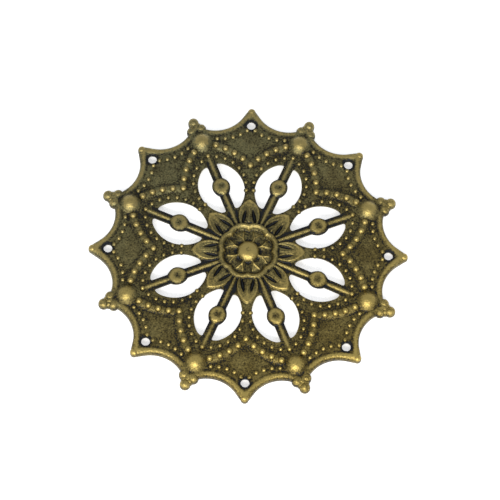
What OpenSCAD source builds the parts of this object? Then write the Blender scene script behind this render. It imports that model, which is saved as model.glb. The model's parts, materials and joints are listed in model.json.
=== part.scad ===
// Round pierced filigree stamping: one pressed sheet of brass with eight equal sectors.
// It lies on the XY plane with its relief side up and a fixing hole on +Y.
// Inside a sector, +X is the spoke line and a hole line stands half a sector to either side.

/* [Sheet] */
// Diameter of the circle through the eight fixing holes
hole_circle_d = 37.9; // [37:0.1:39]
// Diameter of a fixing hole
hole_d = 1.2; // [0.8:0.1:1.4]
// Thickness of the sheet metal
sheet_t = 0.3; // [0.25:0.01:0.35]
// Height of the sheet's upper face above the table, at the fixing holes
field_z = 0.9; // [0.8:0.05:1]
// Extra height of the gently domed sheet at its centre
crown_h = 0.35; // [0.2:0.05:0.5]

/* [Edge] */
// Distance from the centre to the tip of a cusp
cusp_at = 21.6; // [21.5:0.05:21.7]
// Radius of the rounded tip
cusp_r = 0.5; // [0.45:0.05:0.55]
// Radius of the hollow arcs between cusps and trefoils
arc_r = 4.7; // [4.65:0.05:4.75]
// Distance from the centre to an arc's own centre
arc_at = 23.4; // [23.35:0.05:23.5]
// Angle between a spoke line and that centre
arc_turn = 10; // [9.8:0.1:10.2]
// Outer radius of the rolled rim
rim_r = 0.5; // [0.45:0.05:0.6]
// Height of the crest of the rim
rim_z = 1.05; // [1:0.05:1.2]

/* [Trefoil and dome] */
// Distance from the centre to the ball at the tip of a trefoil
tip_ball_at = 20.8; // [20.6:0.1:20.9]
// Distance from the centre to the two balls at its foot
foot_ball_at = 19.6; // [19.4:0.1:19.7]
// Distance of those two balls from the spoke line
foot_ball_off = 0.65; // [0.6:0.01:0.67]
// Radius of a ball
ball_r = 0.72; // [0.7:0.01:0.8]
// Height of a ball
ball_z = 1.15; // [1.1:0.05:1.25]
// Distance from the centre to a dome
dome_at = 17.5; // [17.3:0.1:17.7]
// Radius of a dome where it meets the sheet
dome_r = 1.5; // [1.4:0.05:1.6]
// Height of a dome above the sheet
dome_h = 0.85; // [0.7:0.05:1]

/* [Openings] */
// Distance from the centre to the middle of an opening
opening_at = 10.1; // [10:0.1:10.3]
// Length of an opening before its tips are trimmed
opening_l = 8.4; // [8.2:0.1:8.6]
// Width of an opening
opening_w = 6.2; // [6:0.1:6.3]
// Distance from the centre to an opening's trimmed inner tip
opening_start = 6.55; // [6.4:0.05:6.7]
// Distance from the centre to an opening's trimmed outer tip
opening_end = 13.8; // [13.6:0.05:14]

/* [Spokes] */
// Width of a spoke
spoke_w = 1.3; // [1.1:0.1:1.5]
// Width of the flat along a spoke's top
ridge_w = 0.4; // [0.3:0.05:0.5]
// Height of that flat at the ring
spoke_inner_z = 1.45; // [1.4:0.05:1.5]
// Height of that flat at its outer end
spoke_outer_z = 1.2; // [1.15:0.05:1.25]
// Distance from the centre to the button on a spoke
button_at = 10.2; // [10:0.1:10.4]
// Radius of a button
button_r = 1.17; // [1.1:0.01:1.25]
// Height of a button
button_z = 1.65; // [1.6:0.05:1.8]

/* [Rosette] */
// Distance from the centre to the tip of a leaf
leaf_tip_at = 7.7; // [7.5:0.1:7.9]
// Distance from the centre to the widest place of a leaf
leaf_at = 5.2; // [5:0.1:5.4]
// Width of a leaf
leaf_w = 2.75; // [2.6:0.05:2.8]
// Height of a leaf above the sheet
leaf_h = 0.25; // [0.2:0.05:0.35]
// Radius of a lobe of the ring, from the middle of its width to the lobe's own centre
lobe_r = 1.95; // [1.9:0.01:2]
// Width of the ring
ring_w = 0.85; // [0.75:0.05:0.9]
// Height of the ring above the table
ring_z = 1.65; // [1.55:0.05:1.75]
// Radius of the sunken floor inside the ring
well_r = 3.1; // [3:0.1:3.2]
// Depth of that floor below the sheet
well_h = 0.25; // [0.2:0.05:0.3]
// Radius of the boss where it meets the floor
boss_r = 1.4; // [1.3:0.1:1.5]
// Height of the boss above the floor
boss_h = 0.9; // [0.8:0.05:1]

/* [Ridge and beads] */
// Height of the scalloped ridge above the table
ridge_z = 1.33; // [1.3:0.01:1.4]
// Half the width of that ridge
ridge_r = 0.6; // [0.55:0.05:0.65]
// Radius of the beads on the ridge
bead_r = 0.33; // [0.3:0.01:0.36]

/* [Hidden] */
$fn = 48;
round_fn = 144;
sectors = 8;
half = 180 / sectors;
hole_circle_r = hole_circle_d / 2;
below_z = -1;
above_z = 3;
reach = cusp_at + 1;

// Length of a cusp's rounded tip, and how much faster than its sides the tip draws in with an inset
tip_l = 0.4;
tip_draw = 1.5;

// Each side of a scallop is an arc: distance and angle of its centre, and its radius.
// The beads on it start on the hole line and go by equal steps.
side_at = 9.52;
side_turn = -29.8;
side_r = 10.24;
bead_start = 69.7;
bead_step = -7.9;
side_beads = 4;

// Distance from the centre to the outer end of a spoke
spoke_end_at = 15.2;

// Steps of the rounded forms: the rim, the scalloped ridge and the ring each have one lower level
rim_step = 0.08;
rim_side = 0.2;
ridge_step = 0.15;
ring_step = 0.15;

// How far the middle of a trefoil lies below its balls
web_drop = 0.15;

// Sides of a spoke: rise for each unit of width, and the flare that carries the button
side_slope = 0.65;
flare_w = 1.7;
flare_l = 1.7;
bevel = 0.12;

// Grooves of a leaf and the forked rib between two leaves
groove_l = 2.3;
groove_w = 0.6;
groove_off = 0.66;
groove_turn = 8;
rib_w = 0.25;
rib_h = 0.2;
fork_at = 2.15;
fork_l = 0.7;
fork_turn = 28;

function polar(r, a) = [r * cos(a), r * sin(a)];
function sheet_z(r) = field_z + crown_h * (1 - pow(r / hole_circle_r, 2));
function ridge_point(i) = polar(side_at, side_turn) + polar(side_r, bead_start + i * bead_step);

// Radius of the circle whose cap has foot radius r and height h
function cap_circle(r, h) = (pow(r, 2) + pow(h, 2)) / (2 * h);

well_z = sheet_z(well_r) - well_h;

// A pointed oval along X: what two equal circles share
module lens(length, width) {
    r = cap_circle(length / 2, width / 2);
    intersection_for (side = [-1, 1])
        translate([0, side * (r - width / 2)]) circle(r, $fn = round_fn);
}

module both_sides() {
    children();
    mirror([0, 1, 0]) children();
}

// The domed sheet, with the sunken floor inside the ring
module sheet() {
    steps = 4;
    inner = well_r + well_h;
    rings = [for (i = [0:steps]) inner + (reach - inner) * i / steps];
    top = concat([[0, well_z], [well_r, well_z]], [for (r = rings) [r, sheet_z(r)]]);
    rotate(180)
        rotate_extrude($fn = round_fn)
            polygon(concat(top, [for (i = [len(top) - 1:-1:0]) top[i] - [0, sheet_t]]));
}

// What lies inside the sixteen hollow arcs of the edge, drawn in by an inset, with blunt cusps
module edge_plan(inset) {
    difference() {
        circle(cusp_at - tip_l - tip_draw * inset, $fn = round_fn);
        each_sector()
            both_sides()
                translate(polar(arc_at, arc_turn)) circle(arc_r + inset, $fn = round_fn);
    }
}

// The outline: the same with rounded cusps
module outline() {
    edge_plan(0);
    each_hole_line() translate([cusp_at - cusp_r, 0]) circle(cusp_r);
}

// What lies inside the eight pointed scallops, drawn in by an inset
module scallop_plan(inset) {
    each_sector()
        intersection_for (side = [-1, 1])
            translate(polar(side_at, side * side_turn)) circle(side_r - inset, $fn = round_fn);
}

// What lies inside the eight lobes of the ring, drawn in by an inset
module ring_plan(inset) {
    each_sector() translate([lobe_r, 0]) circle(lobe_r - inset, $fn = round_fn);
}

// A level band between two heights, from one child's outline in to the other's
module band(low_z, high_z) {
    translate([0, 0, low_z])
        linear_extrude(high_z - low_z)
            difference() {
                children(0);
                children(1);
            }
}

// The sheet within the rim
module field() {
    intersection() {
        sheet();
        linear_extrude(above_z) edge_plan(rim_r);
    }
}

// The rolled rim: a wall on the table, the roof over it and the roof's crest
module rim() {
    roof_z = rim_z - rim_step;
    band(0, roof_z) { outline(); edge_plan(sheet_t); }
    band(roof_z - sheet_t, roof_z) { outline(); edge_plan(2 * rim_r - rim_side); }
    band(roof_z - sheet_t / 2, rim_z) { edge_plan(rim_side); edge_plan(2 * rim_r - 2 * rim_side); }
}

// Balls and caps are hollow behind: the outer shape has an inset of 0, the hollow one of sheet_t

// A half ball on a round wall that stands on the table
module ball(inset, z) {
    r = ball_r - inset;
    wall_h = z - ball_r;
    rotate_extrude() {
        translate([0, -inset]) square([r, wall_h + inset]);
        translate([0, wall_h])
            intersection() {
                circle(r);
                square(r);
            }
    }
}

module trefoil(inset) {
    translate([tip_ball_at, 0]) ball(inset, ball_z);
    both_sides() translate([foot_ball_at, foot_ball_off]) ball(inset, ball_z);
}

// A lower ball that joins the three of a trefoil
module trefoil_web() {
    translate([(foot_ball_at + tip_ball_at) / 2, 0]) ball(0, ball_z - web_drop);
}

// A round cap on level z, which reaches half the sheet's thickness below that level
module cap(foot_r, height, z, inset) {
    r = cap_circle(foot_r, height);
    intersection() {
        translate([0, 0, z + height - r]) sphere(r - inset);
        translate([0, 0, z - sheet_t / 2 - inset]) cylinder(r = 2 * r, h = above_z);
    }
}

module dome(inset) {
    translate([dome_at, 0]) cap(dome_r, dome_h, sheet_z(dome_at), inset);
}

// The ridge over the scallops' outline, with a narrower crest
module scallop_ridge() {
    crest_r = ridge_r - ridge_step;
    band(field_z, ridge_z - ridge_step) { scallop_plan(-ridge_r); scallop_plan(ridge_r); }
    band(field_z, ridge_z) { scallop_plan(-crest_r); scallop_plan(crest_r); }
}

// The groove behind that ridge
module scallop_groove() {
    groove = ridge_r - sheet_t;
    band(below_z, ridge_z - sheet_t) { scallop_plan(-groove); scallop_plan(groove); }
}

module opening() {
    translate([0, 0, below_z])
        linear_extrude(above_z - below_z)
            intersection() {
                translate([opening_at, 0]) lens(opening_l, opening_w);
                difference() {
                    circle(opening_end, $fn = round_fn);
                    circle(opening_start, $fn = round_fn);
                }
            }
}

// The spoke's outline, flared where it carries the button
module spoke_plan(start, end) {
    upper = [
        [start, spoke_w / 2],
        [button_at - flare_l, spoke_w / 2],
        [button_at - flare_l / 2, flare_w / 2],
        [button_at + flare_l / 2, flare_w / 2],
        [button_at + flare_l, spoke_w / 2],
        [end, spoke_w / 2]
    ];
    polygon(concat(upper, [for (i = [len(upper) - 1:-1:0]) [upper[i][0], -upper[i][1]]]));
}

// A folded strip that falls outwards: flat on top, with sides that slope to the cut edges
module spoke() {
    start = 2 * lobe_r;
    run = spoke_end_at - start;
    drop = (button_r - ridge_w / 2) * side_slope;
    top = [[-button_r, -drop], [-ridge_w / 2, 0], [ridge_w / 2, 0], [button_r, -drop]];
    intersection() {
        linear_extrude(above_z) spoke_plan(start, spoke_end_at);
        translate([start, 0, spoke_inner_z])
            rotate([90 + atan((spoke_inner_z - spoke_outer_z) / run), 0, 90])
                linear_extrude(2 * run, center = true)
                    polygon(concat(top, [for (i = [len(top) - 1:-1:0]) top[i] - [0, sheet_t]]));
    }
}

// A round plate with a bevelled edge
module button() {
    under = button_z - sheet_t;
    translate([button_at, 0]) {
        cylinder(r = spoke_w / 2, h = under);
        translate([0, 0, under]) cylinder(r = button_r, h = sheet_t - bevel);
        translate([0, 0, button_z - bevel]) cylinder(r1 = button_r, r2 = button_r - bevel, h = bevel);
    }
}

module leaf() {
    z = sheet_z(leaf_at);
    difference() {
        translate([0, 0, z - sheet_t / 2])
            linear_extrude(leaf_h + sheet_t / 2)
                translate([leaf_at, 0]) lens(2 * (leaf_tip_at - leaf_at), leaf_w);
        translate([0, 0, z])
            linear_extrude(2 * leaf_h)
                both_sides()
                    translate([leaf_at, groove_off]) rotate(-groove_turn) lens(groove_l, groove_w);
    }
}

// The rounded ring of eight lobes
module ring() {
    side = ring_w / 2;
    band(well_z - sheet_t / 2, ring_z - ring_step) { ring_plan(-side); ring_plan(side); }
    band(well_z, ring_z) { ring_plan(ring_step - side); ring_plan(side - ring_step); }
}

// A forked rib on the sunken floor
module rib() {
    height = rib_h + sheet_t / 2;
    translate([0, 0, well_z - sheet_t / 2]) {
        translate([boss_r / 2, -rib_w / 2, 0]) cube([fork_at - boss_r / 2, rib_w, height]);
        both_sides()
            translate([fork_at - rib_w, 0, 0])
                rotate(fork_turn)
                    translate([0, -rib_w / 2, 0]) cube([fork_l, rib_w, height]);
    }
}

// A ball half sunk in the ridge
module bead(i) {
    p = ridge_point(i);
    translate([p[0], p[1], ridge_z]) sphere(bead_r);
}

module each_sector() {
    for (i = [0:sectors - 1]) rotate(half + 2 * half * i) children();
}

module each_hole_line() {
    for (i = [0:sectors - 1]) rotate(2 * half * i) children();
}

module stamping() {
    color("darkgoldenrod")
        difference() {
            union() {
                difference() {
                    field();
                    each_sector() opening();
                }
                rim();
                scallop_ridge();
                ring();
                each_sector() {
                    trefoil(0);
                    trefoil_web();
                    dome(0);
                    spoke();
                    button();
                    rib();
                    both_sides() for (i = [1:side_beads]) bead(i);
                }
                each_hole_line() {
                    leaf();
                    bead(0);
                }
                cap(boss_r, boss_h, well_z, 0);
            }
            each_sector() {
                trefoil(sheet_t);
                dome(sheet_t);
            }
            scallop_groove();
            cap(boss_r, boss_h, well_z, sheet_t);
            each_hole_line() translate([hole_circle_r, 0, 0]) cylinder(d = hole_d, h = above_z);
        }
}

stamping();
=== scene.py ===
"""The looks of a round filigree stamping: one sheet of brass, pressed, pierced and plated antique bronze.

It has eight equal sectors, and each sector is its own mirror image. So every form is worked out once,
in half a sector, between a spoke line and the hole line beside it, and then turned and mirrored
sixteen times. Sizes are in millimetres and heights are above the table, up to put_mesh, which turns
them into metres. Angles that are given as numbers are in degrees, and the formulas work in radians.
"""

import json
import math
from typing import NamedTuple

import bpy
import numpy as np
from mathutils import Matrix, Vector


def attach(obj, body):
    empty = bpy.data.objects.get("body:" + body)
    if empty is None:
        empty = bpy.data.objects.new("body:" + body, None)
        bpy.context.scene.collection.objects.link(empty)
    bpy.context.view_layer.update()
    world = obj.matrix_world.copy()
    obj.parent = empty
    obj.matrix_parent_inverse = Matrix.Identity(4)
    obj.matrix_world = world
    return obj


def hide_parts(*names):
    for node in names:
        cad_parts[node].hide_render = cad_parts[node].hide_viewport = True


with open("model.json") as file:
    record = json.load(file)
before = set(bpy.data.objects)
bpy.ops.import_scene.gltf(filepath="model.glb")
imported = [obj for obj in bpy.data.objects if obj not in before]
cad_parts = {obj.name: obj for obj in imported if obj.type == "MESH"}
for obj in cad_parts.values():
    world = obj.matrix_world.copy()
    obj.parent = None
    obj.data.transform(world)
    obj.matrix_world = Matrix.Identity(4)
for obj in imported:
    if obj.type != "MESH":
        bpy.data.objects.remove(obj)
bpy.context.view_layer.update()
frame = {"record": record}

MM = 0.001
holes = frame["record"]["mounts"][0]["dims"]

# Equal sectors, and the angle of half a sector, in radians
SECTORS = 8
HALF = math.pi / SECTORS

# Sheet, and the dish pressed round each fixing hole
HOLE_CIRCLE_R = holes["pcd_mm"] / 2
HOLE_R = holes["hole_r_mm"]
SHEET_T = 0.3
FIELD_Z = 0.9
CROWN_H = 0.35
DISH_W = 0.36
DISH_H = 0.14

# Edge: hollow arcs with a rolled rim, and a rounded tip where two arcs meet on a hole line
ARC_R = 4.7
ARC_AT = 23.42
ARC_OFF_HOLE = 12.5
TIP_BLEND = 3.47
TIP_BLEND_FALL = 2.6
TIP_BLEND_MOST = 2.12
TIP_BLEND_LEAST = 0.2
RIM_R = 0.5
RIM_Z = 1.05
RIM_CREASE_W = 0.12
RIM_CREASE_H = 0.04

# Balls on the edge: a trefoil on each spoke line, lower ones in its necks, and one in the tip of each cusp
TIP_BALL_AT = 20.8
FOOT_BALL_AT = 19.6
FOOT_BALL_OFF = 0.65
BALL_R = 0.72
BALL_Z = 1.15
NECK_BALL_R = 0.5328
NECK_BALL_Z = 0.95
CUSP_BALL_AT = 21.04
CUSP_BALL_R = 0.55
CUSP_BALL_Z = 1.1
BALL_BEVEL = 0.04
BALL_STEPS = 9
BALL_SIDES = 28

# Dome inside the rim
DOME_AT = 17.5
DOME_R = 1.65
DOME_H = 0.87

# Openings, and the raised sheet between two of them
OPENING_AT = 10.1
OPENING_L = 8.4
OPENING_W = 6.2
OPENING_START = 6.55
OPENING_END = 13.8
OPENING_CORNER = 0.3
BRIDGE_START = 7.6
BRIDGE_END = 13.0
BRIDGE_SLOPE_W = 0.8
BRIDGE_HALF_W = 1.2
BRIDGE_H = 0.1

# Spokes and the buttons on them
SPOKE_W = 1.3
SPOKE_START = 3.9
SPOKE_END = 15.2
SPOKE_INNER_Z = 1.45
SPOKE_OUTER_Z = 1.2
SPOKE_FLAT_W = 0.32
SPOKE_SLOPE = 0.35
SPOKE_START_SLOPE = 3.0
SPOKE_END_SLOPE = 1.5
RIDGE_W = 0.44
RIDGE_H = 0.17
BUTTON_AT = 10.2
BUTTON_R = 1.2
BUTTON_Z = 1.65
BUTTON_TOP_R = 0.6
BUTTON_FALL = 0.26
BUTTON_SIDE_SLOPE = 3.0
BUTTON_NECK = 0.8
DIMPLE_R = 0.44
DIMPLE_H = 0.13

# Leaves: pointed ovals with a ridge along the edge, and a rib between two hollows
LEAF_START = 4.0
LEAF_AT = 5.2
LEAF_TIP_AT = 7.7
LEAF_W = 3.0
LEAF_H = 0.2
LEAF_EDGE_IN = 0.2
LEAF_EDGE_W = 0.14
LEAF_EDGE_H = 0.1
LEAF_RIB_W = 0.13
LEAF_RIB_H = 0.09
LEAF_RIB_END = 6.8
LEAF_HOLLOW_AT = 5.0
LEAF_HOLLOW_OFF = 0.66
LEAF_HOLLOW_TURN = -11
LEAF_HOLLOW_L = 2.8
LEAF_HOLLOW_W = 0.64
LEAF_HOLLOW_SIDE_W = 0.24
LEAF_HOLLOW_H = 0.3

# Ring of eight lobes, and the boss in its middle
LOBE_R = 1.95
RING_W = 0.85
RING_Z = 1.65
RING_CREST_H = 0.3
RING_SIDE_H = 0.2
RING_INNER_SIDE = 0.75
BOSS_R = 1.6
BOSS_H = 0.9
BOSS_SUNK = 0.02

# Sunken floor inside the ring: petals with forked ribs on the spoke lines, and pits on the hole lines
WELL_R = 3.1
WELL_H = 0.25
WELL_EDGE_R = 3.7
WELL_SIDE_W = 0.5
PETAL_W = 0.5
PETAL_H = 0.18
PETAL_END = 3.2
RIB_W = 0.14
RIB_H = 0.16
RIB_END = 2.3
FORK_AT = 1.95
FORK_SPREAD = 0.55
FORK_W = 0.13
FORK_START = 1.8
FORK_END = 3.1
# Distance from the middle, depth, length and width of each pit
PITS = ((1.6, 0.5, 0.2, 0.26), (2.8, 0.32, 0.24, 0.4))

# Scalloped ridge: an arc on each side of a spoke line, lower where it passes the dome
SIDE_AT = 9.52
SIDE_TURN = -29.8
SIDE_R = 10.24
SCALLOP_Z = 1.3
SCALLOP_W = 1.3
SCALLOP_CREST_H = 0.3
SADDLE_R = 2.0
SADDLE_W = 0.9
SADDLE_H = 0.4

# Width of the rounded corner at the foot of each form
FOOT_W = {"boss": 0.12, "spoke": 0.06, "button": 0.16, "ring": 0.1, "scallop": 0.16, "rim": 0.06}


class BeadRow(NamedTuple):
    """A row of beads along an arc, by distances from the middle and angles off the spoke line."""

    centre_at: float
    centre_turn: float
    arc_r: float
    first: float
    step: float
    number: int
    bead_r: float


BEAD_ROWS = {
    "border": BeadRow(23.1, 11.6, 5.94, 162.4, 10.65, 5, 0.29),
    "scallop": BeadRow(SIDE_AT, SIDE_TURN, SIDE_R, 69.7, -7.9, 5, 0.4),
    "opening": BeadRow(10.73, -5.8, 4.63, 118.0, -15.0, 7, 0.28),
}
SPOKE_BEAD_AT = SPOKE_END

# Beads, as shares of a bead's radius, and the swelling of the sheet under them
BEAD_TOP = 0.95
BEAD_FOOT_W = 1.3
BEAD_SUNK = 0.4
BEAD_SIDES = 11
BEAD_SWELL_W = 1.45
BEAD_SWELL_H = 0.11

# Widths over which heights are blurred, for the back and for the levels of wear, patina and painted light
BACK_BLUR = 0.12
NEAR_BLUR = 0.3
WIDE_BLUR = 0.9

# Levels of wear, patina and painted light: shares of how far a point stands proud of its near and wide
# surroundings, the most of it that counts, the share of patina with painted shade less wear with painted
# highlights, and the most patina with painted shade
NEAR_SHARE = 0.8
WIDE_SHARE = 0.55
PROUD_MOST = 0.25
PATINA_AND_LIGHT_SHARE = 0.17
DARKEST_PATINA_AND_SHADE = 1.3

# Wear of the outer walls, between the flats at 0 and the dark at -0.2, the insets between which the rim's
# outer slope lies, the walls' greatest inset, and how far below the foot of the roll they start
EDGE_WEAR = -0.06
RIM_SLOPE = (-0.06, 0.3)
WALL_IN = 0.02
WALL_UNDER = 0.01

# Columns of the grid in half a sector, its rows over the rim, and where the spacing of its rows changes
COLUMNS = 36
RIM_ROWS = 16
RING_INNER_FOOT = -0.5
RING_FOOT = 0.52
SPOKES_OUT_R = 11.7
SCALLOP_FOOT = 0.72
BORDER_INSET = 1.5
RIM_FOOT = 1.02

# Angle within which a bead or ball lies on the hole line, in radians
ON_LINE = 5e-3

# Tones of the plating, and the levels between which one gives way to the next: the deep and hollow tones
# are patina with painted shade, and the bright tones are rubbed brass with painted highlights
DEEP = (0.022, 0.024, 0.027)
HOLLOW = (0.04, 0.031, 0.013)
BROWN_FLATS = ((0.142, 0.107, 0.034), (0.195, 0.146, 0.045))
GREEN_FLATS = ((0.109, 0.103, 0.055), (0.152, 0.141, 0.068))
BROWN_BRIGHT = (0.43, 0.325, 0.098)
GREEN_BRIGHT = (0.31, 0.245, 0.096)
DEEP_LEVELS = (-0.11, -0.2)
HOLLOW_LEVELS = (-0.01, -0.14)
BRIGHT_LEVELS = (0.03, 0.22)
DULL_ROUGHNESS = 0.46
BRIGHT_ROUGHNESS = 0.38

# Camera: steeply down from the front, with its lens given by the picture's width in pixels
CAMERA_RISE = 66.42
CAMERA_TURN = -1.26
CAMERA_ROLL = 2.76
CAMERA_AWAY = 22.8 * HOLE_CIRCLE_R
CAMERA_AIM = (0.22805, 0.27187, 0.95929)
PICTURE_PIXELS = 500
FOCAL_PIXELS = 3200
SENSOR_W = 36


def polar(at, turn):
    """The point at a distance from the middle and an angle in degrees off the line."""
    return at * math.cos(math.radians(turn)), at * math.sin(math.radians(turn))


def soft_max(a, b, width):
    """The larger of a and b, with the corner between them rounded over the given width."""
    near = np.clip(width - np.abs(a - b), 0, None)
    return np.maximum(a, b) + near**2 / (4 * width)


def soft_min(a, b, width):
    """The smaller of a and b, with the corner between them rounded over the given width."""
    return -soft_max(-a, -b, width)


def ramp(t):
    """Smooth step from 0 to 1 as t goes from 0 to 1."""
    t = np.clip(t, 0, 1)
    return t * t * (3 - 2 * t)


def rising(t, start, width):
    """Smooth step from 0 to 1 over the given width after the start."""
    return ramp((t - start) / width)


def falling(t, end, width):
    """Smooth step from 1 to 0 over the given width before the end."""
    return ramp((end - t) / width)


def bell(t, width):
    """A bell: e to the power of minus the square of t over the width."""
    return np.exp(-((t / width) ** 2))


def fold(x, y):
    """Distance from the middle, and angle off the nearest spoke line, of points of the plan."""
    turn = np.mod(np.arctan2(y, x), 2 * HALF) - HALF
    return np.hypot(x, y), np.abs(turn)


def by_spoke(r, a):
    """Distances along and off the spoke line."""
    return r * np.cos(a), r * np.sin(a)


def by_hole(r, a):
    """Distances along and off the hole line."""
    return r * np.cos(HALF - a), r * np.sin(HALF - a)


def from_button(r, a):
    """Distance from the middle of the button."""
    along, off = by_spoke(r, a)
    return np.hypot(along - BUTTON_AT, off)


def from_dome(r, a):
    """Distance from the middle of the dome."""
    along, off = by_spoke(r, a)
    return np.hypot(along - DOME_AT, off)


def from_hole(r, a):
    """Distance from the middle of the fixing hole."""
    hx, hy = by_hole(r, a)
    return np.hypot(hx - HOLE_CIRCLE_R, hy)


def lens_inside(x, y, length, width):
    """How far a point lies inside a pointed oval along X: inside both of its two equal circles."""
    r = (length**2 / 4 + width**2 / 4) / width
    return r - np.hypot(x, np.abs(y) + r - width / 2)


def edge_inset(r, a):
    """Distance inward from the outline: two arcs a sector, and a rounded tip between them on the hole line.

    The rounding is widest at the outline and is least where the rim's inner foot passes the fixing hole.
    """
    hx, hy = by_hole(r, a)
    cx, cy = polar(ARC_AT, ARC_OFF_HOLE)
    own = np.hypot(hx - cx, hy - cy) - ARC_R
    other = np.hypot(hx - cx, hy + cy) - ARC_R
    blend = TIP_BLEND - TIP_BLEND_FALL * np.minimum(own, other)
    return soft_min(own, other, np.clip(blend, TIP_BLEND_LEAST, TIP_BLEND_MOST))


def scallop_off(r, a):
    """Distance outward from the middle line of the scalloped ridge, an arc about a point off the spoke."""
    along, off = by_spoke(r, a)
    cx, cy = polar(SIDE_AT, SIDE_TURN)
    return np.hypot(along - cx, off - cy) - SIDE_R


def ring_off(r, a):
    """Distance outward from the middle line of the lobed ring, whose lobes are arcs through the middle."""
    along, off = by_spoke(r, a)
    return np.hypot(along - LOBE_R, off) - LOBE_R


def spoke_half_width(along):
    """Half the width of a spoke, with the round of its button let into it by soft corners."""
    chord = np.sqrt(np.clip(BUTTON_R**2 - (along - BUTTON_AT) ** 2, 0, None))
    return soft_max(SPOKE_W / 2, chord, BUTTON_NECK)


def gap_inside(r, a):
    """How far a point lies inside an opening, beside the spoke that crosses it, with rounded corners."""
    along, off = by_spoke(r, a)
    oval = lens_inside(along - OPENING_AT, off, OPENING_L, OPENING_W)
    ends = np.minimum(r - OPENING_START, OPENING_END - r)
    whole = soft_min(oval, ends, OPENING_CORNER)
    return soft_min(whole, off - spoke_half_width(along), OPENING_CORNER)


def missing(r, a):
    """Above 0 where metal is cut away: how far a point lies inside an opening or a fixing hole."""
    return np.maximum(gap_inside(r, a), HOLE_R - from_hole(r, a))


def sheet_z(r):
    """The gently domed sheet: a parabola over the distance from the middle."""
    return FIELD_Z + CROWN_H * (1 - (r / HOLE_CIRCLE_R) ** 2)


WELL_Z = sheet_z(WELL_R) - WELL_H


def floor_relief(r, a):
    """The floor inside the ring: bells across a spoke line for a petal and its forked rib, less pits."""
    along, off = by_spoke(r, a)
    hx, hy = by_hole(r, a)
    petal = PETAL_H * bell(off, PETAL_W) * falling(along, PETAL_END, 0.6)
    rib = bell(off, RIB_W) * falling(along, RIB_END, 0.4)
    fork = bell(off - FORK_SPREAD * (along - FORK_AT), FORK_W)
    rib += fork * rising(along, FORK_START, 0.3) * falling(along, FORK_END, 0.3)
    pits = sum(depth * bell(hx - at, length) * bell(hy, width) for at, depth, length, width in PITS)
    return petal + RIB_H * rib - pits


def leaf_hollow(r, a):
    """The two hollows of a leaf, from 0 to 1: pointed ovals that lean in towards the tip."""
    hx, hy = by_hole(r, a)
    hx, hy = hx - LEAF_HOLLOW_AT, hy - LEAF_HOLLOW_OFF
    tx, ty = polar(1, LEAF_HOLLOW_TURN)
    inside = lens_inside(hx * tx + hy * ty, hy * tx - hx * ty, LEAF_HOLLOW_L, LEAF_HOLLOW_W)
    return ramp(inside / LEAF_HOLLOW_SIDE_W)


def leaf_relief(r, a):
    """A leaf: a smooth step up into a pointed oval, a ridge on its edge, and a rib between two hollows."""
    hx, hy = by_hole(r, a)
    inside = lens_inside(hx - LEAF_AT, hy, 2 * (LEAF_TIP_AT - LEAF_AT), LEAF_W)
    body = LEAF_H * rising(inside, -0.1, 0.25) + LEAF_EDGE_H * bell(inside - LEAF_EDGE_IN, LEAF_EDGE_W)
    rib = LEAF_RIB_H * bell(hy, LEAF_RIB_W) * falling(hx, LEAF_RIB_END, 0.8)
    return body + rib - LEAF_HOLLOW_H * leaf_hollow(r, a)


def bridge_relief(r, a):
    """The raised sheet between two openings: smooth steps up on all four sides."""
    hx, hy = by_hole(r, a)
    ends = rising(hx, BRIDGE_START, BRIDGE_SLOPE_W) * falling(hx, BRIDGE_END, BRIDGE_SLOPE_W)
    return BRIDGE_H * ends * falling(hy, BRIDGE_HALF_W, BRIDGE_HALF_W)


def boss_z(r):
    """Top of the boss: a full dome, by powers of the distance from the middle, from just under the floor."""
    return WELL_Z - BOSS_SUNK + BOSS_H * np.clip(1 - (r / BOSS_R) ** 2.8, 0, None) ** 0.75


def spoke_z(r, a):
    """Top of a spoke: a rounded ridge along the middle of a strip that slopes to its cut edges."""
    along, off = by_spoke(r, a)
    t = (along - SPOKE_START) / (SPOKE_END - SPOKE_START)
    top = SPOKE_INNER_Z + (SPOKE_OUTER_Z - SPOKE_INNER_Z) * t
    side = RIDGE_H * (1 - bell(off, RIDGE_W / 2)) + SPOKE_SLOPE * np.clip(off - SPOKE_FLAT_W / 2, 0, None)
    before, past = np.clip(SPOKE_START - along, 0, None), np.clip(along - SPOKE_END, 0, None)
    return top - side - SPOKE_START_SLOPE * before - SPOKE_END_SLOPE * past


def button_z(r, a):
    """Top of a button: a ring-shaped swelling round a dimple, which falls off to its edge."""
    far = from_button(r, a)
    fall = BUTTON_FALL * (np.clip(far - BUTTON_TOP_R, 0, None) / (BUTTON_R - BUTTON_TOP_R)) ** 2
    side = BUTTON_SIDE_SLOPE * np.clip(far - BUTTON_R, 0, None)
    return BUTTON_Z - DIMPLE_H * bell(far, DIMPLE_R) - fall - side


def ring_z(r, a):
    """Top of the ring: it falls off by powers of the distance from its middle line, and less inside."""
    e = ring_off(r, a) / (RING_W / 2)
    side = np.where(e > 0, e, RING_INNER_SIDE * e) ** 6
    return RING_Z - RING_CREST_H * np.abs(e) ** 1.5 - RING_SIDE_H * side


def scallop_z(r, a):
    """Top of the scalloped ridge: a parabola across its middle line, let down round the dome."""
    e = scallop_off(r, a) / (SCALLOP_W / 2)
    return SCALLOP_Z - SCALLOP_CREST_H * e**2 - SADDLE_H * falling(from_dome(r, a), SADDLE_R, SADDLE_W)


def dome_relief(r, a):
    """The dome: one less the square of the distance over its radius, to a power that softens its foot."""
    return DOME_H * np.clip(1 - (from_dome(r, a) / DOME_R) ** 2, 0, None) ** 1.5


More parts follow.
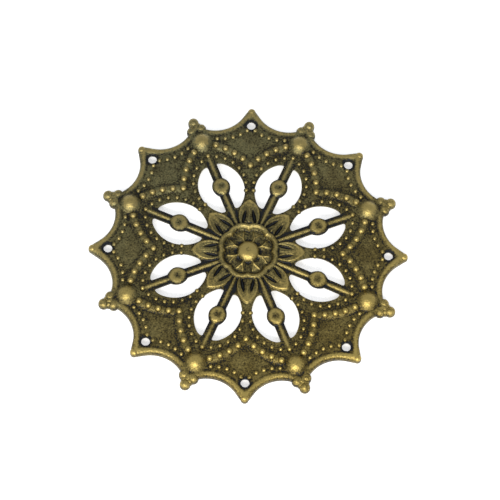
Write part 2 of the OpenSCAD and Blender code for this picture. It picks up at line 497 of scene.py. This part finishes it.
def front_z(x, y):
    """Height of the face side, without beads: the sheet, its low relief, and the forms that stand on it."""
    r, a = fold(x, y)
    inside = falling(r, WELL_EDGE_R, WELL_SIDE_W)
    z = sheet_z(r) * (1 - inside) + (WELL_Z + floor_relief(r, a)) * inside
    z += leaf_relief(r, a) * rising(r, LEAF_START, 0.3) + bridge_relief(r, a)

    z = soft_max(z, boss_z(r), FOOT_W["boss"])
    z = soft_max(z, spoke_z(r, a), FOOT_W["spoke"])
    z = soft_max(z, button_z(r, a), FOOT_W["button"])
    z = soft_max(z, ring_z(r, a), FOOT_W["ring"])
    z = soft_max(z, scallop_z(r, a), FOOT_W["scallop"]) + dome_relief(r, a)

    d = edge_inset(r, a)
    z -= RIM_CREASE_H * bell(d - 2 * RIM_R, RIM_CREASE_W)
    z -= DISH_H * falling(from_hole(r, a), HOLE_R + DISH_W, DISH_W)
    roll = RIM_Z - RIM_R + np.sqrt(np.clip(RIM_R**2 - (d - RIM_R) ** 2, 0, None))
    return np.where(d < RIM_R, roll, soft_max(z, roll, FOOT_W["rim"]))


def bead_places():
    """Distance along and off the spoke line, and radius, of each bead of half a sector."""
    places = []
    for row in BEAD_ROWS.values():
        cx, cy = polar(row.centre_at, row.centre_turn)
        for i in range(row.number):
            px, py = polar(row.arc_r, row.first + i * row.step)
            places.append((cx + px, cy + py, row.bead_r))
    return [*places, (SPOKE_BEAD_AT, 0.0, BEAD_ROWS["opening"].bead_r)]


def bead_height(x, y, spread):
    """The beads as one height over the plan, from 0 to 1: each a dome, spread times as wide as its bead."""
    along, off = by_spoke(*fold(x, y))
    h = np.zeros_like(along)
    for px, py, bead_r in bead_places():
        far = ((along - px) ** 2 + (off - py) ** 2) / (spread * bead_r) ** 2
        h = np.maximum(h, np.clip(1 - far, 0, None) ** 0.8)
    return h


class Plan:
    """Heights over the whole plan on a square raster, to take blurred values from."""

    def __init__(self, span=22.5, step=0.06):
        self.span, self.step = span, step
        axis = np.arange(-span, span + step / 2, step)
        x, y = np.meshgrid(axis, axis, indexing="ij")
        self.z = front_z(x, y) + BEAD_SWELL_H * bead_height(x, y, BEAD_SWELL_W)

    def blurred(self, sigma):
        """The heights spread by a bell of the given width, worked out from their frequencies."""
        n = self.z.shape[0]
        freq = np.fft.fftfreq(n, self.step)
        fall = np.exp(-2 * (math.pi * sigma * freq) ** 2)
        waves = np.fft.rfft2(self.z) * fall[:, None] * fall[None, : n // 2 + 1]
        return np.fft.irfft2(waves, s=self.z.shape)

    def at(self, raster, x, y):
        """The raster's value between its four nearest points."""
        u, v = (x + self.span) / self.step, (y + self.span) / self.step
        last = raster.shape[0] - 2
        i, j = np.clip(u.astype(int), 0, last), np.clip(v.astype(int), 0, last)
        s, t = u - i, v - j
        low = raster[i, j] * (1 - t) + raster[i, j + 1] * t
        high = raster[i + 1, j] * (1 - t) + raster[i + 1, j + 1] * t
        return low * (1 - s) + high * s


plan = Plan()
soft_back = plan.blurred(BACK_BLUR)
near_level = plan.blurred(NEAR_BLUR)
wide_level = plan.blurred(WIDE_BLUR)


def back_z(x, y, front):
    """Height of the back: the face side, blurred and set down by the sheet's thickness.

    Under the rim it follows the roll at that thickness, and it is 0 at the foot of the rim's wall.
    """
    d = edge_inset(*fold(x, y))
    under = np.minimum(plan.at(soft_back, x, y) - SHEET_T, front - SHEET_T / 2)
    roof = RIM_Z - RIM_R + np.sqrt(np.clip((RIM_R - SHEET_T) ** 2 - (d - RIM_R) ** 2, 0, None))
    return np.where(d < SHEET_T, 0.0, np.where(d < RIM_R, roof, under))


def patina_and_painted_shade(x, y):
    """Patina and painted shade: the darkest form at each point.

    Dark plating stays where hands and polish don't reach, and shade is painted in the pits, grooves and
    necks, at the feet of forms and on the sides of spokes and buttons. Each form's dark is a share of
    smooth steps and bells over the distances to it.
    """
    r, a = fold(x, y)
    along, off = by_spoke(r, a)
    hx, hy = by_hole(r, a)
    d = edge_inset(r, a)
    button_far, dome_far = from_button(r, a), from_dome(r, a)
    spoke_side = rising(off, 0.2, 0.25) * falling(off, SPOKE_W / 2 + 0.3, 0.3)
    spoke_side *= rising(along, SPOKE_START, 0.5) * falling(along, SPOKE_END - 0.2, 0.8)
    spoke_side *= rising(button_far, BUTTON_R - 0.2, 0.3)
    dimple = bell(button_far, 0.42)
    button_side = rising(button_far, BUTTON_R - 0.4, 0.3) * rising(off, 0.25, 0.3)
    button = falling(button_far, BUTTON_R + 0.3, 0.3)
    hole_edge = falling(from_hole(r, a), HOLE_R + 0.48, 0.22)
    between_balls = rising(along, FOOT_BALL_AT - 1.1, 0.3) * falling(off, FOOT_BALL_OFF + 1.25, 0.4)
    dome_foot = rising(dome_far, DOME_R - 1.05, 0.7) * falling(dome_far, DOME_R + 0.15, 0.5)
    rim_sides = falling(d, RIM_R - 0.14, 0.2) + bell(d - 2 * RIM_R + 0.08, 0.19)
    beside_beads = bead_height(x, y, 2.6) * falling(bead_height(x, y, 1.0), 0.2, 0.2)
    ring_sides = falling(np.abs(ring_off(r, a)), RING_W / 2 + 0.205, 0.45)
    leaf_foot = rising(hx, LEAF_START - 0.1, 0.3) * falling(hx, LEAF_TIP_AT - 1.1, 1.6)
    leaf_foot *= falling(hy, LEAF_W / 2, 0.3)
    bridge = rising(hx, BRIDGE_START + 0.4, 0.6) * falling(hx, BRIDGE_END - 0.6, 1.2)
    bridge *= falling(hy, BRIDGE_HALF_W + 0.8, 0.5)
    # each share paints the form's patina together with its shade
    forms = [
        0.8 * spoke_side,
        (0.3 + 0.8 * dimple + button_side) * button,
        1.2 * hole_edge,
        0.8 * between_balls,
        0.42 * dome_foot,
        0.5 * rim_sides,
        0.34 * beside_beads,
        0.95 * ring_sides,
        0.66 * leaf_foot,
        0.55 * bridge,
    ]
    return np.clip(np.maximum.reduce(forms), 0, DARKEST_PATINA_AND_SHADE)


def wear_and_painted_highlights(x, y):
    """Wear and painted highlights: the sum of how far each raised form is lightened.

    Plating is rubbed bright by hands and polish on raised forms, and highlights are painted along the
    rim's crest, on the cusps, along the spoke ridges and round the buttons' rings. Each form's part is a
    share of smooth steps and bells over the distances to it.
    """
    r, a = fold(x, y)
    along, off = by_spoke(r, a)
    hx, hy = by_hole(r, a)
    rosette = falling(r, 2 * LOBE_R + 0.2, 0.4)
    boss = falling(r, BOSS_R - 0.2, 0.4)
    floor_edge = rising(r, WELL_EDGE_R - 1.2, 0.3) * falling(r, WELL_EDGE_R - 0.2, 0.3)
    leaf_tip = bell(hx - LEAF_TIP_AT + 0.8, 0.7) * bell(hy, 0.5)
    spoke_ridge = bell(off, 0.2) * rising(along, SPOKE_START, 0.4) * falling(along, SPOKE_END + 0.3, 0.6)
    button_ring = bell(from_button(r, a) - BUTTON_TOP_R - 0.12, 0.16)
    dome_foot = bell(from_dome(r, a) - DOME_R + 0.15, 0.35)
    rim_crest = bell(edge_inset(r, a) - RIM_R, 0.14)
    cusp = bell(hx - CUSP_BALL_AT - 0.06, 0.6) * bell(hy, 0.6)
    # shares of wear, with painted highlights on the rim's crest, the cusps, the spoke ridges and the
    # buttons' rings
    return (
        0.3 * rosette
        + 0.4 * boss
        + 0.5 * floor_edge
        + 0.8 * leaf_tip
        + 0.5 * leaf_hollow(r, a)
        + 0.4 * spoke_ridge
        + 0.5 * button_ring
        + 0.5 * dome_foot
        + 0.5 * rim_crest
        + 0.6 * cusp
    )


def wear_patina_and_painted_light(x, y, z):
    """How far a point stands proud of what is round it, in millimetres, less its patina and painted shade,
    plus its wear and painted highlights.

    Low levels give the dark of patina with painted shade in the hollows, and high levels give rubbed brass
    with painted highlights on what is proud. The back shows the same relief turned over, so there the level
    is the other way round. The outer slope of the rim is never darker than a middling brown, and the walls
    have that brown.
    """
    d = edge_inset(*fold(x, y))
    proud = NEAR_SHARE * (z - plan.at(near_level, x, y)) + WIDE_SHARE * (z - plan.at(wide_level, x, y))
    face = np.minimum(proud, PROUD_MOST) - PATINA_AND_LIGHT_SHARE * (patina_and_painted_shade(x, y) - wear_and_painted_highlights(x, y))
    back = -proud - (NEAR_SHARE + WIDE_SHARE) * SHEET_T
    front = z > plan.at(plan.z, x, y) - SHEET_T / 2
    level = np.where(front, face, back)
    # the balls, which reach further out, keep their own level of wear, patina and painted light
    slope = front & (d > RIM_SLOPE[0]) & (d < RIM_SLOPE[1])
    wall = (d < WALL_IN) & (z < RIM_Z - RIM_R - WALL_UNDER)
    return np.where(wall, EDGE_WEAR, np.where(slope, np.maximum(level, EDGE_WEAR), level))


def radius_where(level_of, goal, turns, low, high):
    """Distance from the middle, along each of the given turns, where level_of rises to goal: by halving."""
    low, high = np.full_like(turns, low), np.full_like(turns, high)
    for _ in range(40):
        middle = (low + high) / 2
        under = level_of(middle, turns) < goal
        low, high = np.where(under, middle, low), np.where(under, high, middle)
    return (low + high) / 2


def half_sector_turns():
    """Angles off the spoke line of the grid's columns, closer together near the spoke."""
    t = np.arange(COLUMNS + 1) / COLUMNS
    return HALF * (0.62 * t + 0.38 * t**2)


def rows_between(start, end, number):
    """Rows of distances that lead from one curve to another in equal steps, without the last."""
    t = np.arange(number)[:, None] / number
    return start * (1 - t) + end * t


def grid_rows(*stretches):
    """Rows of distances for half a sector: a stretch is a number of rows and the curve where they start."""
    turns = half_sector_turns()
    curves = [np.broadcast_to(curve, turns.shape) for _, curve in stretches]
    numbers = [number for number, _ in stretches]
    rows = [rows_between(*stretch) for stretch in zip(curves, curves[1:], numbers)]
    return np.concatenate(rows + [curves[-1][None]])


def snap(along, off):
    """Moves the grid points nearest to a cut edge onto it. Returns the points and which are on the edge.

    Of two neighbours with the edge between them, the nearer one moves, in a few steps along the slope of
    its distance to the edge.
    """

    def cut(px, py):
        return missing(np.hypot(px, py), np.arctan2(py, px))

    g = cut(along, off)
    on = np.zeros(g.shape, bool)
    for first, second in (
        ((slice(None, -1), slice(None)), (slice(1, None), slice(None))),
        ((slice(None), slice(None, -1)), (slice(None), slice(1, None))),
    ):
        cross = (g[first] > 0) != (g[second] > 0)
        nearer = np.abs(g[first]) < np.abs(g[second])
        on[first] |= cross & nearer
        on[second] |= cross & ~nearer
    tiny = 1e-4
    for _ in range(4):
        g = cut(along, off)
        gx = (cut(along + tiny, off) - cut(along - tiny, off)) / (2 * tiny)
        gy = (cut(along, off + tiny) - cut(along, off - tiny)) / (2 * tiny)
        scale = np.where(on, g / np.maximum(gx**2 + gy**2, 1e-9), 0)
        along, off = along - scale * gx, off - scale * gy
    return along, off, on


def round_grid(rows):
    """The plan of a grid all the way round, from its rows in half a sector, by turning and mirroring.

    Returns x and y, and for each point 1 in a gap, 0 on a cut edge and -1 in the metal.
    """
    along, off, on = snap(*by_spoke(rows, np.broadcast_to(half_sector_turns(), rows.shape)))
    state = np.where(on, 0, np.sign(missing(np.hypot(along, off), np.arctan2(off, along)))).astype(int)

    # columns of a sector: up one half, and down the mirrored one, which belongs to the next spoke line
    column = np.tile(np.concatenate([np.arange(COLUMNS), np.arange(COLUMNS, 0, -1)]), SECTORS)
    side = np.tile(np.repeat([1, -1], COLUMNS), SECTORS)
    sector = np.repeat(np.arange(SECTORS), 2 * COLUMNS)
    spoke = HALF + 2 * HALF * (sector + (side < 0))
    along, off = along[:, column], off[:, column] * side
    x = along * np.cos(spoke) - off * np.sin(spoke)
    y = along * np.sin(spoke) + off * np.cos(spoke)
    return x, y, state[:, column]


def cut_faces(x, y, state, pole):
    """Four-sided and three-sided faces of a grid all the way round, less those in the gaps.

    A face with one corner in a gap keeps its other three. With a pole, the first row is one point.
    """
    index = np.arange(x.size).reshape(x.shape)
    after = np.roll(index, -1, axis=1)
    start = 1 if pole else 0
    corners = [index[start:-1], index[start + 1 :], after[start + 1 :], after[start:-1]]
    quads = np.stack(corners, axis=-1).reshape(-1, 4)
    x, y, state = x.ravel(), y.ravel(), state.ravel()

    def in_metal(faces):
        middle = missing(*fold(x[faces].mean(1), y[faces].mean(1))) < 0
        return (state[faces] < 0).any(1) | middle

    outs = (state[quads] > 0).sum(1)
    whole = quads[(outs == 0) & in_metal(quads)]
    one = quads[outs == 1]
    skip = (state[one] > 0).argmax(1)
    tri = np.stack([one[np.arange(len(one)), (skip + k) % 4] for k in (1, 2, 3)], axis=1)
    tri = tri[in_metal(tri)]
    if pole:
        tri = np.concatenate([tri, np.stack([np.zeros_like(index[1]), index[1], after[1]], axis=1)])
    return whole, tri


def close_sheet(x, y, quads, tri):
    """Front and back of a cut grid, without unused points, and a wall between them at each of its edges.

    Returns the points, the faces, and the edges to keep sharp.
    """
    used = np.unique(np.concatenate([quads.ravel(), tri.ravel()]))
    new = np.full(x.size, -1)
    new[used] = np.arange(used.size)
    quads, tri = new[quads], new[tri]
    x, y = x.ravel()[used], y.ravel()[used]
    front = front_z(x, y)
    back = back_z(x, y, front)
    n = used.size

    def edges(faces):
        return np.stack([faces, np.roll(faces, -1, axis=1)], axis=-1).reshape(-1, 2)

    every = np.concatenate([edges(quads), edges(tri)])
    key, opposite = every[:, 0] * n + every[:, 1], every[:, 1] * n + every[:, 0]
    rim = every[~np.isin(key, opposite)]
    wall = np.stack([rim[:, 1], rim[:, 0], rim[:, 0] + n, rim[:, 1] + n], axis=1)
    points = np.concatenate([np.stack([x, y, front], 1), np.stack([x, y, back], 1)])
    return points, [quads, tri, quads[:, ::-1] + n, tri[:, ::-1] + n, wall], np.concatenate([rim, rim + n])


def put_mesh(name, points, faces, sharp_edges=None):
    """A piece of the stamping, with its wear and painted light, from points in mm and arrays of faces."""
    used = [f for f in faces if len(f)]
    corners = np.concatenate([f.ravel() for f in used]).astype(np.int32)
    sizes = np.concatenate([np.full(len(f), f.shape[1]) for f in used]).astype(np.int32)
    mesh = bpy.data.meshes.new(name)
    mesh.vertices.add(len(points))
    mesh.vertices.foreach_set("co", (points * MM).astype(np.float32).ravel())
    mesh.loops.add(corners.size)
    mesh.loops.foreach_set("vertex_index", corners)
    mesh.polygons.add(sizes.size)
    mesh.polygons.foreach_set("loop_start", np.concatenate([[0], np.cumsum(sizes)[:-1]]).astype(np.int32))
    mesh.polygons.foreach_set("use_smooth", np.ones(sizes.size, bool))
    mesh.update(calc_edges=True)
    if sharp_edges is not None:
        pairs = np.empty(2 * len(mesh.edges), np.int32)
        mesh.edges.foreach_get("vertices", pairs)
        pairs = np.sort(pairs.reshape(-1, 2), axis=1).astype(np.int64)
        wanted = np.sort(sharp_edges, axis=1)
        n = len(points)
        sharp = np.isin(pairs[:, 0] * n + pairs[:, 1], wanted[:, 0] * n + wanted[:, 1])
        mesh.attributes.new("sharp_edge", "BOOLEAN", "EDGE").data.foreach_set("value", sharp)
    wear_and_light_levels = wear_patina_and_painted_light(*points.T).astype(np.float32)
    mesh.attributes.new("wear_patina_and_painted_light", "FLOAT", "POINT").data.foreach_set("value", wear_and_light_levels)
    piece = bpy.data.objects.new(name, mesh)
    bpy.context.collection.objects.link(piece)
    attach(piece, "root")
    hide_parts("stamping")
    return piece


def sheet_piece(name, rows, pole=False):
    """A part of the sheet, all the way round, from its rows in half a sector."""
    x, y, state = round_grid(rows)
    return put_mesh(name, *close_sheet(x, y, *cut_faces(x, y, state, pole)))


def turned(profile, segments):
    """A closed solid: a profile of (distance, height), from top middle to bottom middle, turned round Z."""
    profile = np.asarray(profile, float)
    inner = profile[1:-1]
    t = np.arange(segments) / segments * 2 * math.pi
    heights = np.broadcast_to(inner[:, 1:], (len(inner), segments))
    ring = np.stack([inner[:, :1] * np.cos(t), inner[:, :1] * np.sin(t), heights], axis=-1)
    points = np.concatenate([[[0, 0, profile[0, 1]]], ring.reshape(-1, 3), [[0, 0, profile[-1, 1]]]])
    index = 1 + np.arange(len(inner) * segments).reshape(-1, segments)
    after = np.roll(index, -1, axis=1)
    quads = np.stack([index[:-1], index[1:], after[1:], after[:-1]], axis=-1).reshape(-1, 4)
    top = np.stack([np.zeros(segments, int), index[0], after[0]], axis=1)
    last = np.full(segments, len(points) - 1)
    bottom = np.stack([after[-1], index[-1], last], axis=1)
    return points, [quads, np.concatenate([top, bottom])]


def repeated(points, faces, offsets, sizes):
    """Copies of a solid at the given offsets and sizes, as one set of points and faces."""
    copies = points[None] * sizes[:, None, None] + offsets[:, None, :]
    step = len(points) * np.arange(len(offsets))
    return copies.reshape(-1, 3), [(f[None] + step[:, None, None]).reshape(-1, f.shape[1]) for f in faces]


def joined(parts):
    """Several sets of points and faces as one."""
    points, faces, start = [], [], 0
    for p, fs in parts:
        points.append(p)
        faces += [f + start for f in fs]
        start += len(p)
    return np.concatenate(points), faces


def all_round(places):
    """Places of half a sector, as (along, off, size), turned and mirrored into every half sector.

    A place on the spoke line or on the hole line is its own mirror image, and comes once a sector.
    """
    out = []
    for along, off, size in places:
        at, turn = math.hypot(along, off), math.atan2(off, along)
        sides = (1,) if turn == 0 or abs(turn - HALF) < ON_LINE else (1, -1)
        for sector in range(SECTORS):
            for side in sides:
                t = HALF + 2 * HALF * sector + side * turn
                out.append((at * math.cos(t), at * math.sin(t), size))
    return np.array(out)


def beads():
    """Small domes on the sheet: each a full dome with its foot sunk a little."""
    t = np.array([0.3, 0.62, 0.88, 1.0])
    height = np.clip(1 - t**2, 0, None) ** 0.8 - 0.3 * t**2
    profile = [(0, BEAD_TOP), *zip(BEAD_FOOT_W * t, BEAD_TOP * height), (0, -BEAD_SUNK)]
    x, y, sizes = all_round(bead_places()).T
    offsets = np.column_stack([x, y, front_z(x, y)])
    return put_mesh("beads", *repeated(*turned(profile, BEAD_SIDES), offsets, sizes))


def ball_profile(top_z):
    """A hollow half ball on a round wall that stands on the table."""
    t = np.linspace(0, math.pi / 2, BALL_STEPS)
    wall = top_z - BALL_R
    outer = [(BALL_R * math.sin(u), wall + BALL_R * math.cos(u)) for u in t]
    thin = BALL_R - SHEET_T
    inner = [(thin * math.sin(u), wall + thin * math.cos(u)) for u in t[::-1]]
    foot = [(BALL_R, BALL_BEVEL), (BALL_R - BALL_BEVEL, 0), (thin + BALL_BEVEL, 0), (thin, BALL_BEVEL)]
    return [*outer, *foot, *inner]


def edge_balls():
    """Three balls at the end of each spoke line, lower ones that fill their necks, and one in each cusp."""
    neck_at = (TIP_BALL_AT + FOOT_BALL_AT) / 2
    trefoil = [(TIP_BALL_AT, 0.0), (FOOT_BALL_AT, FOOT_BALL_OFF)]
    necks = [(neck_at, 0.0), (neck_at, FOOT_BALL_OFF / 2)]
    cusp = [(CUSP_BALL_AT * math.cos(HALF), CUSP_BALL_AT * math.sin(HALF))]
    parts = []
    for places, top_z, ball_r in (
        (trefoil, BALL_Z, BALL_R),
        (necks, NECK_BALL_Z, NECK_BALL_R),
        (cusp, CUSP_BALL_Z, CUSP_BALL_R),
    ):
        x, y, sizes = all_round([(*place, ball_r / BALL_R) for place in places]).T
        offsets = np.column_stack([x, y, np.zeros_like(x)])
        parts.append(repeated(*turned(ball_profile(top_z * BALL_R / ball_r), BALL_SIDES), offsets, sizes))
    return put_mesh("edge_balls", *joined(parts))


def stamping():
    """All pieces of the stamping: four parts of the sheet, parted along creases, and small forms on it."""
    turns = half_sector_turns()

    def ring_at(off):
        return radius_where(ring_off, off, turns, 2.0, 6.0)

    def scallop_at(off):
        return radius_where(scallop_off, off, turns, 9.0, 20.0)

    def inset_at(inset):
        return radius_where(lambda r, a: -edge_inset(r, a), -inset, turns, 15.0, 23.0)

    ring_in, ring_foot = ring_at(RING_INNER_FOOT), ring_at(RING_FOOT)
    scallop_in, scallop_foot = scallop_at(-SCALLOP_FOOT), scallop_at(SCALLOP_FOOT)
    over_rim = [RIM_R * (1 - math.cos(u)) for u in np.linspace(math.pi, 0, RIM_ROWS + 1)[1:]]
    to_edge = [(1, inset_at(inset)) for inset in [RIM_FOOT, *over_rim]]
    return [
        sheet_piece("rosette", grid_rows((26, 0.0), (12, ring_in), (0, ring_foot)), pole=True),
        sheet_piece("spokes", grid_rows((66, ring_foot), (0, SPOKES_OUT_R))),
        sheet_piece("scallops", grid_rows((48, SPOKES_OUT_R), (14, scallop_in), (0, scallop_foot))),
        sheet_piece("border", grid_rows((30, scallop_foot), (4, inset_at(BORDER_INSET)), *to_edge)),
        beads(),
        edge_balls(),
    ]


class Nodes:
    """The nodes of a new material, which are fed with numbers, colours or the outputs of other nodes."""

    def __init__(self, name):
        self.material = bpy.data.materials.new(name)
        self.material.use_nodes = True
        self.tree = self.material.node_tree
        self.shader = self.tree.nodes["Principled BSDF"]

    def feed(self, slot, value):
        """Links the slot to an output, or sets it to a colour or a number."""
        if isinstance(value, bpy.types.NodeSocket):
            self.tree.links.new(value, slot)
        elif isinstance(value, tuple):
            slot.default_value = (*value, 1)
        else:
            slot.default_value = value

    def add(self, kind, **values):
        """A node of a kind, with its inputs fed by name."""
        made = self.tree.nodes.new("ShaderNode" + kind)
        for key, value in values.items():
            self.feed(made.inputs[key.replace("_", " ")], value)
        return made

    def place(self):
        """The place on the piece, in metres."""
        return self.add("TexCoord").outputs["Object"]

    def noise(self, scale, detail, roughness):
        """Noise over the place on the piece."""
        made = self.add("TexNoise", Vector=self.place(), Scale=scale, Detail=detail, Roughness=roughness)
        return made.outputs["Fac"]

    def math(self, operation, first, second):
        """The result of one operation on two values."""
        made = self.add("Math")
        made.operation = operation
        self.feed(made.inputs[0], first)
        self.feed(made.inputs[1], second)
        return made.outputs[0]

    def spread(self, value, low, high, to_low=0.0, to_high=1.0):
        """The value from its range of low to high, spread over another range."""
        made = self.add("MapRange", Value=value, From_Min=low, From_Max=high, To_Min=to_low, To_Max=to_high)
        return made.outputs["Result"]

    def swing(self, noise, low, high):
        """A noise, which lies mostly between 0.3 and 0.7, spread from low to high."""
        return self.spread(noise, 0.3, 0.7, low, high)

    def mix(self, factor, first, second):
        """The first colour where the factor is 0, the second where it is 1."""
        made = self.add("Mix")
        made.data_type = "RGBA"
        for key, value in (("Factor", factor), ("A", first), ("B", second)):
            self.feed(made.inputs[key], value)
        return made.outputs["Result"]

    def attribute(self, name):
        """A value that is stored in the mesh."""
        made = self.add("Attribute")
        made.attribute_name = name
        return made.outputs["Fac"]


def antique_bronze():
    """Plated brass: near black in the deepest hollows, olive on the flats, rubbed bright where it is proud.

    The dark of the hollows is patina with painted shade, and the bright of what is proud is wear with
    painted highlights. The level of a point, with a fine jitter, picks its tone. Across the piece the flats
    and the bright parts turn from brown, on the right in front, to green, on the left behind.
    """
    nodes = Nodes("antique_bronze")
    patches = nodes.noise(scale=420, detail=3, roughness=0.5)
    grain = nodes.noise(scale=4600, detail=2, roughness=0.65)
    jitter = nodes.math("ADD", nodes.swing(patches, -0.04, 0.04), nodes.swing(grain, -0.14, 0.14))
    level = nodes.math("ADD", nodes.attribute("wear_patina_and_painted_light"), jitter)

    across = nodes.add("SeparateXYZ", Vector=nodes.place()).outputs
    side = nodes.math("ADD", across["Y"], nodes.math("MULTIPLY", across["X"], -0.5))
    side = nodes.math("ADD", side, nodes.swing(patches, -0.008, 0.008))
    greener = nodes.spread(side, -0.02, 0.02)
    patchy = nodes.spread(patches, 0.35, 0.65)

    # the bright, hollow and deep tones paint highlights and shade along with wear and patina
    bright = nodes.spread(level, *BRIGHT_LEVELS)
    colour = nodes.mix(greener, nodes.mix(patchy, *BROWN_FLATS), nodes.mix(patchy, *GREEN_FLATS))
    colour = nodes.mix(nodes.spread(level, *HOLLOW_LEVELS), colour, HOLLOW)
    colour = nodes.mix(nodes.spread(level, *DEEP_LEVELS), colour, DEEP)
    colour = nodes.mix(bright, colour, nodes.mix(greener, BROWN_BRIGHT, GREEN_BRIGHT))
    rough = nodes.spread(bright, 0.0, 1.0, DULL_ROUGHNESS, BRIGHT_ROUGHNESS)
    rough = nodes.math("ADD", rough, nodes.swing(grain, -0.06, 0.08))
    bump = nodes.add("Bump", Strength=0.5, Distance=0.0001, Height=grain)

    nodes.shader.inputs["Metallic"].default_value = 1.0
    nodes.feed(nodes.shader.inputs["Base Color"], colour)
    nodes.feed(nodes.shader.inputs["Roughness"], rough)
    nodes.feed(nodes.shader.inputs["Normal"], bump.outputs["Normal"])
    return nodes.material


def paper():
    """The pale floor's paper, which glows a little so that it stays white."""
    material = bpy.data.materials.new("paper")
    material.use_nodes = True
    shader = material.node_tree.nodes["Principled BSDF"]
    shader.inputs["Base Color"].default_value = (0.9, 0.9, 0.91, 1)
    shader.inputs["Roughness"].default_value = 0.9
    shader.inputs["Emission Color"].default_value = (1, 1, 1, 1)
    shader.inputs["Emission Strength"].default_value = 0.48
    return material


def floor():
    """A wide sheet of paper that the stamping lies on, in metres."""
    mesh = bpy.data.meshes.new("floor")
    reach = 3.0
    corners = [(-reach, -reach, 0), (reach, -reach, 0), (reach, reach, 0), (-reach, reach, 0)]
    mesh.from_pydata(corners, [], [(0, 1, 2, 3)])
    made = bpy.data.objects.new("floor", mesh)
    mesh.materials.append(paper())
    bpy.context.collection.objects.link(made)


def softbox(name, place, aim, width, depth, power, colour):
    """An area light at a place, turned to its aim."""
    data = bpy.data.lights.new(name, "AREA")
    data.shape = "RECTANGLE"
    data.size, data.size_y = width, depth
    data.energy = power
    data.color = colour
    made = bpy.data.objects.new(name, data)
    made.location = place
    made.rotation_euler = (Vector(aim) - Vector(place)).to_track_quat("-Z", "Y").to_euler()
    bpy.context.collection.objects.link(made)


def light():
    """Soft studio light, in metres: a pale room, and a wide strip light high in front."""
    world = bpy.data.worlds.new("room")
    world.use_nodes = True
    world.node_tree.nodes["Background"].inputs["Color"].default_value = (0.93, 0.96, 1.0, 1)
    world.node_tree.nodes["Background"].inputs["Strength"].default_value = 0.75
    bpy.context.scene.world = world
    warm_white = (1.0, 0.97, 0.9)
    softbox("front", (-0.12, -0.72, 0.62), (0, 0, 0), width=1.2, depth=0.2, power=10, colour=warm_white)


def camera():
    """The photograph's view: steeply down from the front, from far away, with a slight roll."""
    rise, roll, turn = math.radians(CAMERA_RISE), math.radians(CAMERA_ROLL), math.radians(CAMERA_TURN)
    back = Vector((math.sin(turn) * math.cos(rise), -math.cos(turn) * math.cos(rise), math.sin(rise)))
    right = Vector((math.cos(turn), math.sin(turn), 0))
    up = back.cross(right)
    across = math.cos(roll) * right + math.sin(roll) * up
    upward = math.cos(roll) * up - math.sin(roll) * right
    data = bpy.data.cameras.new("camera")
    data.sensor_width = SENSOR_W
    data.lens = SENSOR_W * FOCAL_PIXELS / PICTURE_PIXELS
    data.clip_start, data.clip_end = 0.01, 10
    made = bpy.data.objects.new("camera", data)
    turned_to = Matrix((across, upward, back)).transposed().to_4x4()
    made.matrix_world = Matrix.Translation((Vector(CAMERA_AIM) + CAMERA_AWAY * back) * MM) @ turned_to
    bpy.context.collection.objects.link(made)
    bpy.context.scene.camera = made


bronze = antique_bronze()
for piece in stamping():
    piece.data.materials.append(bronze)
floor()
light()
camera()
bpy.context.scene.view_settings.view_transform = "Standard"
